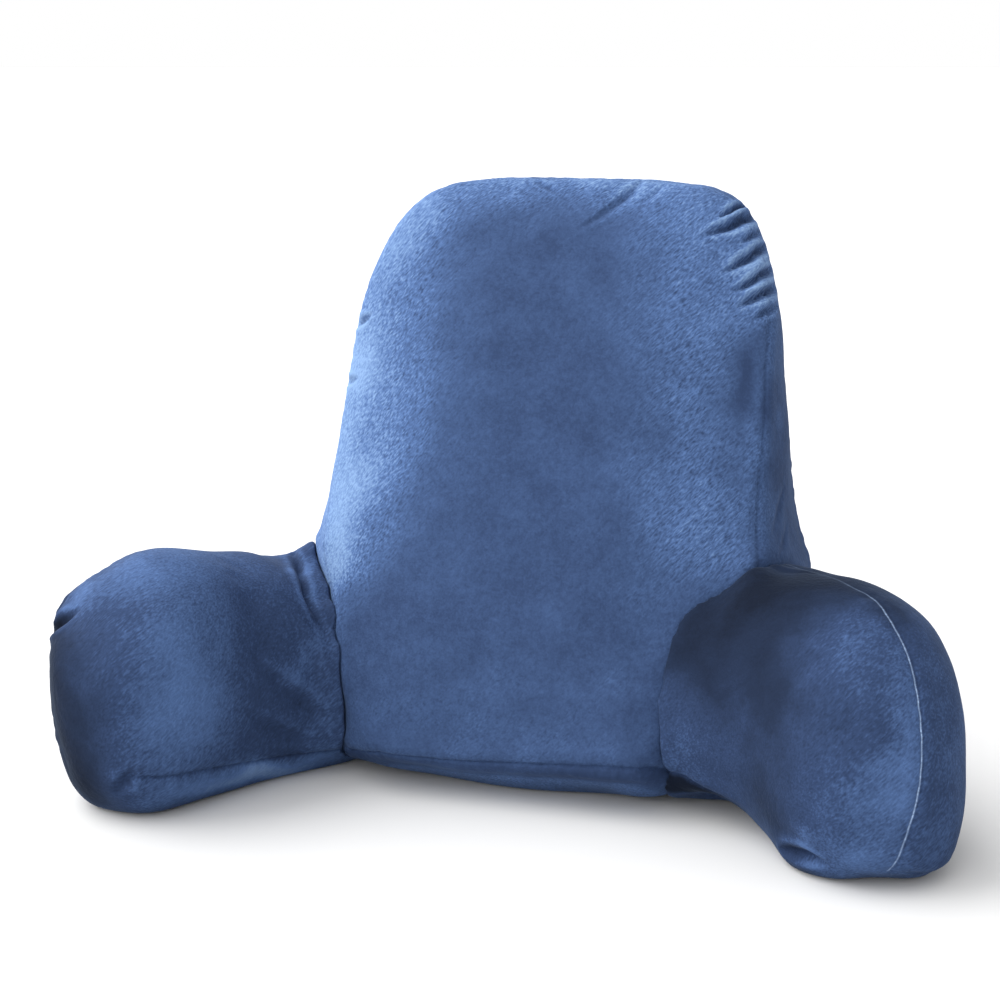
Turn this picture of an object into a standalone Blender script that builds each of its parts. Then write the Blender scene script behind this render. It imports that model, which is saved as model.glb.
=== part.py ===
"""Reading pillow with arms: a filled, boxed backrest and two filled arms that turn forward from its foot.

The pillow stands on its flat base. The reader leans on the crowned front panel, which faces -Y, and +X
is the arm on the right as seen from the front. Metres, +Z up. The tables below are laid out from a point
between the arms; centre_pillow then puts the origin under the middle of the whole pillow.
"""

import math
from collections import namedtuple

import bmesh
import bpy
from mathutils import Matrix, Vector

# ---- driving dimensions ----------------------------------------------------------------------------

PIECE_GAP = 0.0003  # between two filled pieces where they are sewn together
SEAT_LEVEL = 0.0  # the surface that the pillow rests on

# Backrest: a front panel that leans back, a more upright back panel and a boxing strip between them.
FRONT_LEAN = math.radians(26.0)
BACK_LEAN = math.radians(8.0)
FRONT_FOOT_Y = -0.143
BACK_FOOT_Y = 0.052
SEAM_RISE = 0.034  # the lower seams sit this far above the base
BACKREST_HEIGHT = 0.451
FRONT_CROWN = 0.032
BACK_CROWN = 0.022
PANEL_FULLNESS = 2.6  # exponent of the crown, high for a flat middle
BOXING_CROWN = 0.008
BASE_CROWN = 0.048
BOXING_FULLNESS = 0.85
TOP_CORNER = 5.2  # exponent of the panels' outline at its upper corners
FOOT_CORNER = 9.0  # the same at the lower corners

OutlineRow = namedtuple("OutlineRow", "height front back")  # half widths of the two panels
PANEL_OUTLINE = (
    OutlineRow(0.00, 0.130, 0.186),
    OutlineRow(0.06, 0.134, 0.192),
    OutlineRow(0.12, 0.154, 0.198),
    OutlineRow(0.18, 0.179, 0.195),
    OutlineRow(0.22, 0.173, 0.183),
    OutlineRow(0.27, 0.172, 0.172),
    OutlineRow(0.33, 0.169, 0.167),
    OutlineRow(0.40, 0.163, 0.160),
    OutlineRow(0.47, 0.151, 0.149),
)

# Arm: upright sections from inside the backrest to the nose, each between a point on the reader's side
# (inner) and one on the far side (outer). Shoulder and foot are the exponents that round the section's
# upper and lower quarters. Both arms are written for +X; the left one is mirrored.
ArmSection = namedtuple("ArmSection", "along inner_x inner_y outer_x outer_y top bottom shoulder foot")
RIGHT_ARM = (
    ArmSection(0.00, 0.055, -0.070, 0.120, 0.030, 0.190, 0.014, 2.4, 2.6),
    ArmSection(0.25, 0.103, -0.101, 0.238, 0.034, 0.177, -0.004, 2.4, 2.6),
    ArmSection(0.50, 0.149, -0.122, 0.311, -0.040, 0.188, -0.010, 2.3, 2.3),
    ArmSection(0.75, 0.187, -0.156, 0.336, -0.105, 0.181, -0.012, 2.2, 2.8),
    ArmSection(1.00, 0.214, -0.222, 0.350, -0.188, 0.140, -0.012, 2.2, 3.8),
)
LEFT_ARM = (
    ArmSection(0.00, 0.070, -0.070, 0.120, 0.030, 0.200, 0.014, 2.4, 4.0),
    ArmSection(0.25, 0.128, -0.094, 0.240, 0.034, 0.160, -0.004, 2.4, 3.6),
    ArmSection(0.50, 0.168, -0.127, 0.320, -0.048, 0.171, -0.012, 2.5, 3.0),
    ArmSection(0.75, 0.195, -0.172, 0.350, -0.126, 0.184, -0.014, 2.9, 2.9),
    ArmSection(1.00, 0.216, -0.252, 0.361, -0.226, 0.166, -0.014, 3.6, 3.2),
)
NOSE_START = 0.60  # where along the arm its end starts to round off
NOSE_ROUNDNESS = 2.7
NOSE_FOOT = 0.6  # how much of that rounding reaches the underside

# Main folds: each is pressed in (or raised, where lift is positive) along a straight run on the cloth.
Fold = namedtuple("Fold", "piece x1 y1 z1 x2 y2 z2 half_width lift")
FOLDS = (
    # The left arm's cloth tucks under itself beside the backrest and strains across its inner side.
    Fold("arm_left", -0.206, -0.030, 0.162, -0.170, -0.082, 0.149, 0.012, -0.007),
    Fold("arm_left", -0.170, -0.082, 0.149, -0.149, -0.098, 0.115, 0.012, -0.006),
    Fold("arm_left", -0.236, -0.060, 0.163, -0.196, -0.108, 0.148, 0.016, 0.004),
    Fold("arm_left", -0.190, -0.153, 0.124, -0.150, -0.109, 0.065, 0.013, -0.005),
    Fold("arm_left", -0.190, -0.158, 0.073, -0.166, -0.122, 0.043, 0.011, -0.004),
    Fold("arm_left", -0.340, -0.180, 0.150, -0.313, -0.205, 0.143, 0.012, -0.005),
    # The right arm puckers where its inner panel meets the base, and creases at its root.
    Fold("arm_right", 0.221, -0.186, 0.024, 0.250, -0.204, 0.022, 0.011, -0.006),
    Fold("arm_right", 0.172, -0.050, 0.178, 0.216, -0.070, 0.187, 0.012, -0.004),
    # The backrest's top creases and gathers towards its right corner.
    Fold("backrest", 0.049, 0.078, 0.450, 0.017, 0.052, 0.424, 0.013, -0.005),
    Fold("backrest", 0.112, 0.056, 0.420, 0.134, 0.085, 0.430, 0.010, -0.005),
    Fold("backrest", 0.132, 0.044, 0.400, 0.153, 0.079, 0.411, 0.010, -0.005),
    Fold("backrest", 0.134, 0.030, 0.374, 0.165, 0.070, 0.385, 0.010, -0.005),
)

# Fineness of the meshes.
OUTLINE_STEPS = 112
OUTLINE_SAMPLES = 1440
FRONT_RINGS = (0.14, 0.28, 0.41, 0.53, 0.64, 0.74, 0.82, 0.89, 0.95, 1.0)
BACK_RINGS = (0.22, 0.44, 0.64, 0.80, 0.92, 1.0)
BOXING_RINGS = (0.06, 0.15, 0.28, 0.42, 0.56, 0.70, 0.84, 0.94)
ARM_SECTION_STEPS = 48
ARM_LENGTH_STEPS = 36


# ---- helpers ---------------------------------------------------------------------------------------


def read_table(rows, key, column, at):
    """Value of a column at a place along the key column, on a smooth curve through the rows."""
    keys = [getattr(row, key) for row in rows]
    values = [getattr(row, column) for row in rows]
    at = min(max(at, keys[0]), keys[-1])
    i = next(n for n in range(len(keys) - 1) if at <= keys[n + 1])
    slopes = []
    for n in range(len(keys)):
        low, high = max(n - 1, 0), min(n + 1, len(keys) - 1)
        slopes.append((values[high] - values[low]) / (keys[high] - keys[low]))
    span = keys[i + 1] - keys[i]
    t = (at - keys[i]) / span
    return (
        values[i] * (2 * t**3 - 3 * t**2 + 1)
        + values[i + 1] * (3 * t**2 - 2 * t**3)
        + slopes[i] * span * (t**3 - 2 * t**2 + t)
        + slopes[i + 1] * span * (t**3 - t**2)
    )


def rounded(angle, exponent):
    """Point of a unit superellipse, a square with rounded corners."""
    c, s = math.cos(angle), math.sin(angle)
    return (
        math.copysign(abs(c) ** (2 / exponent), c),
        math.copysign(abs(s) ** (2 / exponent), s),
    )


def press_folds(mesh, folds):
    """Move the cloth in or out along each fold, fading over the fold's half width."""
    mesh.normal_update()
    moves = {}
    for fold in folds:
        start = Vector((fold.x1, fold.y1, fold.z1))
        run = Vector((fold.x2, fold.y2, fold.z2)) - start
        for vert in mesh.verts:
            share = min(max((vert.co - start).dot(run) / run.length_squared, 0.0), 1.0)
            away = (vert.co - start - run * share).length / fold.half_width
            move = vert.normal * fold.lift * math.exp(-(away**2))
            moves[vert] = moves.get(vert, Vector()) + move
    for vert, move in moves.items():
        vert.co += move


def loft(name, rings, folds=(), grow=0.0):
    """Closed mesh through rings of equal count, the first and last of them single points."""
    mesh = bmesh.new()
    rows = [[mesh.verts.new(point) for point in ring] for ring in rings]
    for low, high in zip(rows, rows[1:]):
        count = max(len(low), len(high))
        for n in range(count):
            m = (n + 1) % count
            corners = [low[n % len(low)], low[m % len(low)], high[m % len(high)], high[n % len(high)]]
            mesh.faces.new(dict.fromkeys(corners))
    bmesh.ops.recalc_face_normals(mesh, faces=mesh.faces)
    bmesh.ops.triangulate(mesh, faces=mesh.faces, quad_method="FIXED")
    press_folds(mesh, folds)
    mesh.normal_update()
    grown = [(vert, vert.normal * grow * vert.calc_shell_factor()) for vert in mesh.verts]
    for vert, move in grown:
        vert.co += move
    data = bpy.data.meshes.new(name)
    mesh.to_mesh(data)
    mesh.free()
    return bpy.data.objects.new(name, data)


def flatten_base(thing):
    """Cut the piece off level at the base and close the cut."""
    mesh = bmesh.new()
    mesh.from_mesh(thing.data)
    cut = bmesh.ops.bisect_plane(
        mesh,
        geom=mesh.verts[:] + mesh.edges[:] + mesh.faces[:],
        plane_co=(0, 0, SEAT_LEVEL),
        plane_no=(0, 0, -1),
        clear_outer=True,
    )
    rim = [item for item in cut["geom_cut"] if isinstance(item, bmesh.types.BMEdge)]
    bmesh.ops.edgenet_fill(mesh, edges=rim)
    bmesh.ops.recalc_face_normals(mesh, faces=mesh.faces)
    mesh.to_mesh(thing.data)
    mesh.free()


def cloth(name, colour, roughness):
    """Plain dyed cloth for a piece."""
    material = bpy.data.materials.new(name)
    material.use_nodes = True
    shader = material.node_tree.nodes["Principled BSDF"]
    shader.inputs["Base Color"].default_value = (*colour, 1.0)
    shader.inputs["Roughness"].default_value = roughness
    shader.inputs["Metallic"].default_value = 0.0
    return material


# ---- backrest --------------------------------------------------------------------------------------


def panel_outline():
    """Evenly spaced points of the panels' outline, a rounded oblong of half width and half height 1."""
    half_width = PANEL_OUTLINE[-1].front
    half_height = (BACKREST_HEIGHT - SEAM_RISE) / 2
    fine = []
    for n in range(OUTLINE_SAMPLES + 1):
        angle = 2 * math.pi * n / OUTLINE_SAMPLES
        fine.append(Vector(rounded(angle, TOP_CORNER if math.sin(angle) > 0 else FOOT_CORNER)))
    reach = [0.0]
    for last, here in zip(fine, fine[1:]):
        step = here - last
        reach.append(reach[-1] + math.hypot(step.x * half_width, step.y * half_height))
    outline = []
    after = 1
    for n in range(OUTLINE_STEPS):
        wanted = reach[-1] * n / OUTLINE_STEPS
        while reach[after] < wanted:
            after += 1
        share = (wanted - reach[after - 1]) / (reach[after] - reach[after - 1])
        outline.append(fine[after - 1].lerp(fine[after], share))
    return outline


def panel_point(place, share, foot_y, lean, crown, panel):
    """Point of a leaning panel: share 0 is its middle and 1 its seam; crown bulges it along -Y or +Y."""
    middle = (SEAM_RISE + BACKREST_HEIGHT) / 2
    reach = (BACKREST_HEIGHT - SEAM_RISE) / 2
    height = middle + reach * place.y * share
    half_width = read_table(PANEL_OUTLINE, "height", panel, middle + reach * place.y)
    bulge = crown * (1 - share**PANEL_FULLNESS)
    y = foot_y + height * math.tan(lean) + bulge * math.cos(lean)
    return Vector((half_width * place.x * share, y, height - bulge * math.sin(lean)))


def front_point(place, share):
    return panel_point(place, share, FRONT_FOOT_Y, FRONT_LEAN, -FRONT_CROWN, "front")


def back_point(place, share):
    return panel_point(place, share, BACK_FOOT_Y, BACK_LEAN, BACK_CROWN, "back")


def boxing_point(place, share):
    """Point of the boxing strip: share 0 is the front seam and 1 the back seam."""
    outward = Vector((place.x, 0.0, place.y)).normalized()
    below = max(-outward.z, 0.0) ** 2
    bulge = BOXING_CROWN * (1 - below) + BASE_CROWN * below
    on_seams = front_point(place, 1.0).lerp(back_point(place, 1.0), share)
    return on_seams + outward * bulge * math.sin(math.pi * share) ** BOXING_FULLNESS


def backrest_rings():
    """Rings from the middle of the front panel over its seam, the boxing and the back panel's seam."""
    outline = panel_outline()
    centre = Vector((0.0, 0.0))
    rings = [[front_point(centre, 0.0)]]
    rings += [[front_point(place, share) for place in outline] for share in FRONT_RINGS]
    rings += [[boxing_point(place, share) for place in outline] for share in BOXING_RINGS]
    rings += [[back_point(place, share) for place in outline] for share in reversed(BACK_RINGS)]
    rings.append([back_point(centre, 0.0)])
    return rings


# ---- arms ------------------------------------------------------------------------------------------


def arm_rings(sections, side):
    """Rings of the arm's sections from its root to its nose, mirrored where side is -1."""
    rings = []
    for step in range(ARM_LENGTH_STEPS + 1):
        along = step / ARM_LENGTH_STEPS
        shrink = 1.0
        if along > NOSE_START:
            turn = (along - NOSE_START) / (1 - NOSE_START) * math.pi / 2
            along = NOSE_START + (1 - NOSE_START) * math.sin(turn) ** (2 / NOSE_ROUNDNESS)
            shrink = max(math.cos(turn), 0.0) ** (2 / NOSE_ROUNDNESS)
        here = ArmSection(*(read_table(sections, "along", column, along) for column in ArmSection._fields))
        inner = Vector((here.inner_x, here.inner_y, (here.top + here.bottom) / 2))
        outer = Vector((here.outer_x, here.outer_y, inner.z))
        ring = []
        for n in range(ARM_SECTION_STEPS):
            angle = 2 * math.pi * n / ARM_SECTION_STEPS
            across, up = rounded(angle, here.shoulder if math.sin(angle) > 0 else here.foot)
            point = inner.lerp(outer, (1 + across * shrink) / 2)
            point.z += (here.top - inner.z) * up * (shrink if up > 0 else shrink**NOSE_FOOT)
            point.x *= side
            ring.append(point)
        rings.append(ring)
    root, nose = rings[0], rings[-1]
    rings[-1] = [sum(nose, Vector()) / len(nose)]
    return [[sum(root, Vector()) / len(root)]] + rings


# ---- assembly --------------------------------------------------------------------------------------


def centre_pillow(pieces, cutter):
    """Move the pillow so that the origin lies under the middle of its plan."""
    points = [vert.co for piece in pieces for vert in piece.data.vertices]
    middle = [(min(p[axis] for p in points) + max(p[axis] for p in points)) / 2 for axis in (0, 1)]
    for thing in (*pieces, cutter):
        thing.data.transform(Matrix.Translation((-middle[0], -middle[1], 0.0)))


def build():
    for thing in list(bpy.data.objects):
        bpy.data.objects.remove(thing)
    pillow = bpy.data.collections.new("reading_pillow")
    cutters = bpy.data.collections.new("cutters")
    bpy.context.scene.collection.children.link(pillow)
    bpy.context.scene.collection.children.link(cutters)

    folds = {name: [fold for fold in FOLDS if fold.piece == name] for name in {row.piece for row in FOLDS}}
    backrest = loft("backrest", backrest_rings(), folds["backrest"])
    arm_left = loft("arm_left", arm_rings(LEFT_ARM, -1), folds["arm_left"])
    arm_right = loft("arm_right", arm_rings(RIGHT_ARM, 1), folds["arm_right"])
    cutter = loft("backrest_space", backrest_rings(), folds["backrest"], grow=PIECE_GAP)
    cutters.objects.link(cutter)
    cutter.hide_render = True
    cutter.display_type = "WIRE"

    plush = cloth("navy_plush", (0.055, 0.095, 0.215), 0.85)
    pieces = (backrest, arm_left, arm_right)
    for piece in pieces:
        pillow.objects.link(piece)
        flatten_base(piece)
        piece.data.materials.append(plush)
    centre_pillow(pieces, cutter)

    for arm in (arm_left, arm_right):
        trim = arm.modifiers.new("seat_against_backrest", "BOOLEAN")
        trim.operation = "DIFFERENCE"
        trim.object = cutter


build()
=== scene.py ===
"""Looks of a reading pillow with arms: a sewn cover of short navy plush over soft filling.

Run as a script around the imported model. Each filled piece of the frame is replaced by a cushion of its own
form: remeshed, blown up as cloth between its seams, then creased along its seams and folds. Left and right are
as seen from the front, where -Y faces.
"""

import math
from collections import namedtuple

import bpy
import numpy as np
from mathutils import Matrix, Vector, noise
from mathutils.bvhtree import BVHTree
from mathutils.kdtree import KDTree


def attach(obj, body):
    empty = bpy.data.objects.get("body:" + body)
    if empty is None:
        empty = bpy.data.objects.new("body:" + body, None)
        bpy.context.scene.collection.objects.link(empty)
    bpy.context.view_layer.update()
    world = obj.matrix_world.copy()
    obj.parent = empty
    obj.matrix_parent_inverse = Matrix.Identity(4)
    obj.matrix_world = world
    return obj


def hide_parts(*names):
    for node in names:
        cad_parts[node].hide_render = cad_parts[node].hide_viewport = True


bl_info = {
    "name": "Reading Pillow",
    "version": (1, 0, 0),
    "blender": (4, 5, 0),
    "location": "3D View > Sidebar > Reading Pillow",
    "description": "Makes a plush reading pillow with arms around its packed model",
    "category": "Object",
}

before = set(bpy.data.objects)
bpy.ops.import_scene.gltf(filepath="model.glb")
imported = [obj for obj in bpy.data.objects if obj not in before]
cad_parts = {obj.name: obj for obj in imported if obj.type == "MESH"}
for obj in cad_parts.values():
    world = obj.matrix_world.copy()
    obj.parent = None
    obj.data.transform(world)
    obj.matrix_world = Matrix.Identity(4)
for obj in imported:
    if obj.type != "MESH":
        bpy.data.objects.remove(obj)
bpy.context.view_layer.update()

# ---- sizes, in metres ------------------------------------------------------------------------------

FRONT_LEAN = math.radians(26.0)
BACK_LEAN = math.radians(8.0)
FRONT_FOOT_Y = -0.0825  # where the plane of the front panel's seam meets the base
BACK_FOOT_Y = 0.1125
SEAM_RISE = 0.034  # lowest and highest point of both panels' seams
SEAM_TOP = 0.451
MIDDLE_X = 0.007  # the backrest's middle, off the origin because the arms are uneven
TOP_CORNER = 5.2  # squareness of the panels' corners: 2 is round, and more is squarer
FOOT_CORNER = 9.0
SEAM_SAMPLES = 360
FRONT_ROLL = 0.020  # how far back the front seam goes where its panel rolls over the top
TOP_ROLL = (0.33, 0.43)  # heights over which that roll grows to full
LEFT_ROLL = (0.17, 0.24)  # heights over which the left edge's roll grows
LEFT_ROLL_SHARE = 0.7  # the left edge's roll, against the top's

# Half widths of the front and back panels, by height.
OutlineRow = namedtuple("OutlineRow", "height front back")
PANEL_OUTLINE = (
    OutlineRow(0.00, 0.130, 0.186),
    OutlineRow(0.06, 0.134, 0.192),
    OutlineRow(0.12, 0.154, 0.198),
    OutlineRow(0.18, 0.179, 0.195),
    OutlineRow(0.22, 0.173, 0.183),
    OutlineRow(0.27, 0.172, 0.172),
    OutlineRow(0.33, 0.169, 0.167),
    OutlineRow(0.40, 0.163, 0.160),
    OutlineRow(0.47, 0.151, 0.149),
)

# A crease pressed into the cloth: its half width, its depth (a ridge below zero), how far its left side is
# lifted over its right one, and the spots that it runs through as x, y, z and the share of full size there.
Fold = namedtuple("Fold", "half_width depth step spots")

BACKREST_FOLDS = (
    # Gathers at the upper right corner, from the boxing inwards.
    Fold(0.0026, 0.0062, 0.0, (
        (0.144, 0.160, 0.442, 0.2), (0.141, 0.154, 0.441, 0.8), (0.136, 0.139, 0.438, 1.0),
        (0.132, 0.132, 0.436, 0.8), (0.126, 0.127, 0.432, 0.0),
    )),
    Fold(0.0042, 0.0075, 0.0, (
        (0.152, 0.162, 0.434, 0.3), (0.150, 0.152, 0.433, 0.7), (0.146, 0.143, 0.432, 1.0),
        (0.141, 0.131, 0.430, 1.0), (0.135, 0.125, 0.427, 0.9), (0.127, 0.122, 0.423, 0.6),
        (0.114, 0.115, 0.417, 0.0),
    )),
    Fold(0.0028, 0.0036, 0.0, (
        (0.160, 0.150, 0.422, 0.2), (0.155, 0.131, 0.420, 1.0), (0.151, 0.123, 0.418, 0.6),
        (0.145, 0.118, 0.415, 0.0),
    )),
    Fold(0.0036, 0.0070, 0.0, (
        (0.164, 0.157, 0.411, 0.1), (0.165, 0.145, 0.410, 0.7), (0.161, 0.134, 0.409, 1.0),
        (0.156, 0.118, 0.406, 1.0), (0.149, 0.112, 0.402, 0.9), (0.142, 0.106, 0.397, 0.5),
        (0.134, 0.102, 0.391, 0.0),
    )),
    Fold(0.0034, 0.0066, 0.0, (
        (0.171, 0.152, 0.394, 0.1), (0.172, 0.140, 0.393, 0.7), (0.168, 0.129, 0.392, 1.0),
        (0.164, 0.111, 0.391, 1.0), (0.157, 0.103, 0.387, 0.9), (0.150, 0.099, 0.382, 0.5),
        (0.142, 0.095, 0.378, 0.0),
    )),
    Fold(0.0034, 0.0062, 0.0, (
        (0.175, 0.145, 0.381, 0.1), (0.176, 0.133, 0.380, 0.7), (0.172, 0.122, 0.379, 1.0),
        (0.168, 0.106, 0.378, 1.0), (0.161, 0.098, 0.375, 0.9), (0.154, 0.093, 0.371, 0.5),
        (0.147, 0.090, 0.367, 0.0),
    )),
    Fold(0.0028, 0.0038, 0.0, (
        (0.178, 0.122, 0.367, 0.3), (0.172, 0.098, 0.365, 1.0), (0.165, 0.091, 0.361, 0.5),
        (0.159, 0.088, 0.358, 0.0),
    )),
    # Long crease from the top, and small ones beside it.
    Fold(0.0040, 0.0030, 0.0012, (
        (0.058, 0.152, 0.457, 0.5), (0.052, 0.141, 0.449, 1.0), (0.042, 0.132, 0.439, 0.8),
        (0.032, 0.123, 0.430, 0.5), (0.018, 0.113, 0.420, 0.1),
    )),
    Fold(0.0030, 0.0020, 0.0000, (
        (-0.026, 0.147, 0.456, 0.5), (-0.014, 0.140, 0.453, 1.0), (-0.001, 0.134, 0.448, 0.1),
    )),
    Fold(0.0030, 0.0016, 0.0000, (
        (0.078, 0.147, 0.453, 0.5), (0.070, 0.138, 0.447, 1.0), (0.062, 0.130, 0.441, 0.1),
    )),
    # Short pinches at the left edge.
    Fold(0.0034, 0.0044, 0.0000, (
        (-0.170, 0.098, 0.342, 0.9), (-0.159, 0.086, 0.347, 1.0), (-0.149, 0.083, 0.354, 0.1),
    )),
    Fold(0.0030, 0.0032, 0.0000, (
        (-0.173, 0.074, 0.298, 0.9), (-0.163, 0.065, 0.301, 1.0), (-0.154, 0.062, 0.304, 0.1),
    )),
    # Slack folds low on the right side of the boxing.
    Fold(0.0046, 0.0012, 0.0006, (
        (0.202, 0.082, 0.232, 0.2), (0.194, 0.060, 0.216, 1.0), (0.187, 0.040, 0.204, 0.3),
    )),
    Fold(0.0040, 0.0010, 0.0005, (
        (0.206, 0.076, 0.206, 0.2), (0.199, 0.056, 0.194, 1.0), (0.191, 0.036, 0.186, 0.3),
    )),
)
ARM_LEFT_FOLDS = (
    # Tuck beside the backrest: a ridge that overlaps the trough on its left.
    Fold(0.0043, 0.0040, -0.0028, (
        (-0.205, 0.040, 0.157, 0.6), (-0.182, 0.001, 0.155, 1.0), (-0.168, -0.022, 0.145, 1.0),
        (-0.159, -0.032, 0.1345, 0.7), (-0.151, -0.035, 0.125, 0.35), (-0.143, -0.036, 0.115, 0.0),
    )),
    # Strain folds across the inner side.
    Fold(0.0085, 0.0004, 0.0032, (
        (-0.186, -0.088, 0.110, 0.1), (-0.172, -0.074, 0.094, 0.9), (-0.159, -0.056, 0.074, 1.0),
        (-0.146, -0.045, 0.057, 0.5),
    )),
    Fold(0.0080, 0.0004, 0.0026, (
        (-0.190, -0.100, 0.076, 0.1), (-0.174, -0.076, 0.055, 1.0), (-0.156, -0.053, 0.036, 0.5),
    )),
    Fold(0.0080, -0.0020, 0.0010, (
        (-0.160, -0.050, 0.130, 0.2), (-0.153, -0.047, 0.115, 1.0), (-0.146, -0.045, 0.098, 0.2),
    )),
    # Pinch where the outer seam turns down the nose, and the crease at the lower corner.
    Fold(0.0054, 0.0056, 0.0006, (
        (-0.337, -0.120, 0.127, 0.15), (-0.332, -0.125, 0.134, 0.85), (-0.324, -0.128, 0.142, 0.9),
        (-0.315, -0.130, 0.149, 0.4), (-0.306, -0.131, 0.154, 0.0),
    )),
    Fold(0.0046, 0.0028, 0.0000, (
        (-0.260, -0.178, 0.027, 0.4), (-0.251, -0.177, 0.038, 1.0), (-0.244, -0.176, 0.048, 0.1),
    )),
)
ARM_RIGHT_FOLDS = (
    # Ridge at the root, where the boxing and the inner panel cross.
    Fold(0.0045, -0.0014, 0.0000, (
        (0.180, 0.010, 0.182, 0.4), (0.195, 0.014, 0.182, 1.0), (0.210, 0.010, 0.183, 0.9),
        (0.226, 0.002, 0.185, 0.1),
    )),
    # Pucker at the foot of the nose.
    Fold(0.0050, 0.0056, 0.0010, (
        (0.224, -0.112, 0.014, 0.5), (0.230, -0.118, 0.017, 1.0), (0.240, -0.126, 0.019, 1.0),
        (0.249, -0.131, 0.019, 0.6), (0.258, -0.134, 0.018, 0.0),
    )),
)

# A seam: the share of full depth, how dark the painted shade in its line is, how much painted shade darkens the
# cloth below it, how strong its light line of parted pile and painted highlight is (to its left, or below zero
# to its right), whether it is closed, and its spots as x, y, z and the share of full size there.
Seam = namedtuple("Seam", "depth shade below parting closed spots")

RIGHT_TOP_SEAM = Seam(0.55, 0.6, 0.0, -1.2, False, (
    (0.182, 0.028, 0.176, 0.1),
    (0.201, 0.028, 0.178, 0.2),
    (0.226, 0.004, 0.184, 0.1),
    (0.254, -0.031, 0.188, 0.2),
    (0.273, -0.047, 0.185, 0.5),
    (0.287, -0.066, 0.174, 0.8),
    (0.301, -0.084, 0.158, 1.0),
    (0.310, -0.102, 0.137, 1.0),
    (0.316, -0.122, 0.105, 1.0),
    (0.315, -0.134, 0.070, 1.0),
    (0.309, -0.138, 0.044, 0.8),
    (0.300, -0.136, 0.016, 0.6),
))
LEFT_TOP_SEAM = Seam(0.55, 0.6, 0.0, 0.7, False, (
    (-0.178, 0.040, 0.158, 0.6),
    (-0.205, 0.058, 0.156, 0.8),
    (-0.242, 0.036, 0.160, 0.8),
    (-0.280, -0.014, 0.172, 1.0),
    (-0.312, -0.062, 0.174, 1.0),
    (-0.331, -0.102, 0.154, 1.0),
    (-0.338, -0.122, 0.120, 1.0),
    (-0.337, -0.138, 0.085, 1.0),
    (-0.330, -0.148, 0.050, 1.0),
    (-0.318, -0.150, 0.016, 0.8),
))
RIGHT_BASE_SEAM = Seam(0.8, 0.6, 0.45, 0.0, False, (
    (0.120, -0.040, 0.037, 1.0),
    (0.129, -0.046, 0.037, 1.0),
    (0.139, -0.051, 0.037, 1.0),
    (0.149, -0.050, 0.033, 1.0),
    (0.158, -0.051, 0.029, 1.0),
    (0.167, -0.055, 0.025, 0.8),
    (0.176, -0.061, 0.021, 0.6),
    (0.186, -0.072, 0.016, 0.0),
))
LEFT_BASE_SEAM = Seam(0.9, 0.6, 0.0, 0.0, False, (
    (-0.124, -0.020, 0.016, 1.0),
    (-0.133, -0.027, 0.018, 1.0),
    (-0.145, -0.036, 0.018, 1.0),
    (-0.159, -0.052, 0.020, 1.0),
    (-0.187, -0.092, 0.026, 1.0),
    (-0.206, -0.131, 0.033, 1.0),
    (-0.221, -0.156, 0.036, 1.0),
    (-0.233, -0.168, 0.038, 1.0),
    (-0.243, -0.175, 0.040, 0.9),
    (-0.256, -0.178, 0.040, 0.2),
))
# The outer panels meet the bottom panel low down.
RIGHT_FOOT_SEAM = Seam(0.7, 0.5, 0.0, 0.0, False, (
    (0.300, -0.136, 0.012, 0.0),
    (0.322, -0.108, 0.012, 0.8),
    (0.334, -0.060, 0.012, 1.0),
    (0.328, -0.010, 0.012, 1.0),
    (0.300, 0.040, 0.012, 1.0),
    (0.256, 0.078, 0.012, 1.0),
    (0.210, 0.094, 0.012, 1.0),
))
LEFT_FOOT_SEAM = Seam(0.7, 0.5, 0.0, 0.0, False, (
    (-0.318, -0.150, 0.012, 0.0),
    (-0.336, -0.120, 0.012, 0.8),
    (-0.340, -0.080, 0.012, 1.0),
    (-0.328, -0.020, 0.012, 1.0),
    (-0.296, 0.036, 0.012, 1.0),
    (-0.250, 0.078, 0.012, 1.0),
    (-0.206, 0.094, 0.012, 1.0),
))
# The front panel meets the bottom panel above the strip that shows.
FRONT_FOOT_SEAM = Seam(1.0, 0.6, 0.08, 0.0, False, (
    (-0.130, -0.034, 0.022, 1.0),
    (-0.119, -0.041, 0.024, 1.0),
    (-0.110, -0.048, 0.027, 1.0),
    (-0.098, -0.057, 0.029, 1.0),
    (-0.076, -0.060, 0.031, 1.0),
    (-0.035, -0.060, 0.033, 1.0),
    (0.006, -0.062, 0.036, 1.0),
    (0.046, -0.062, 0.039, 1.0),
    (0.084, -0.061, 0.042, 1.0),
    (0.110, -0.059, 0.042, 1.0),
    (0.119, -0.051, 0.040, 1.0),
    (0.126, -0.043, 0.036, 1.0),
    (0.133, -0.035, 0.033, 1.0),
))

# Places where the cloth is pulled a little off its solid, on every cushion that it reaches, so that neighbours
# stay beside each other: the middle, the reach each way, and how far it goes.
Pull = namedtuple("Pull", "middle reach way")

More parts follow.
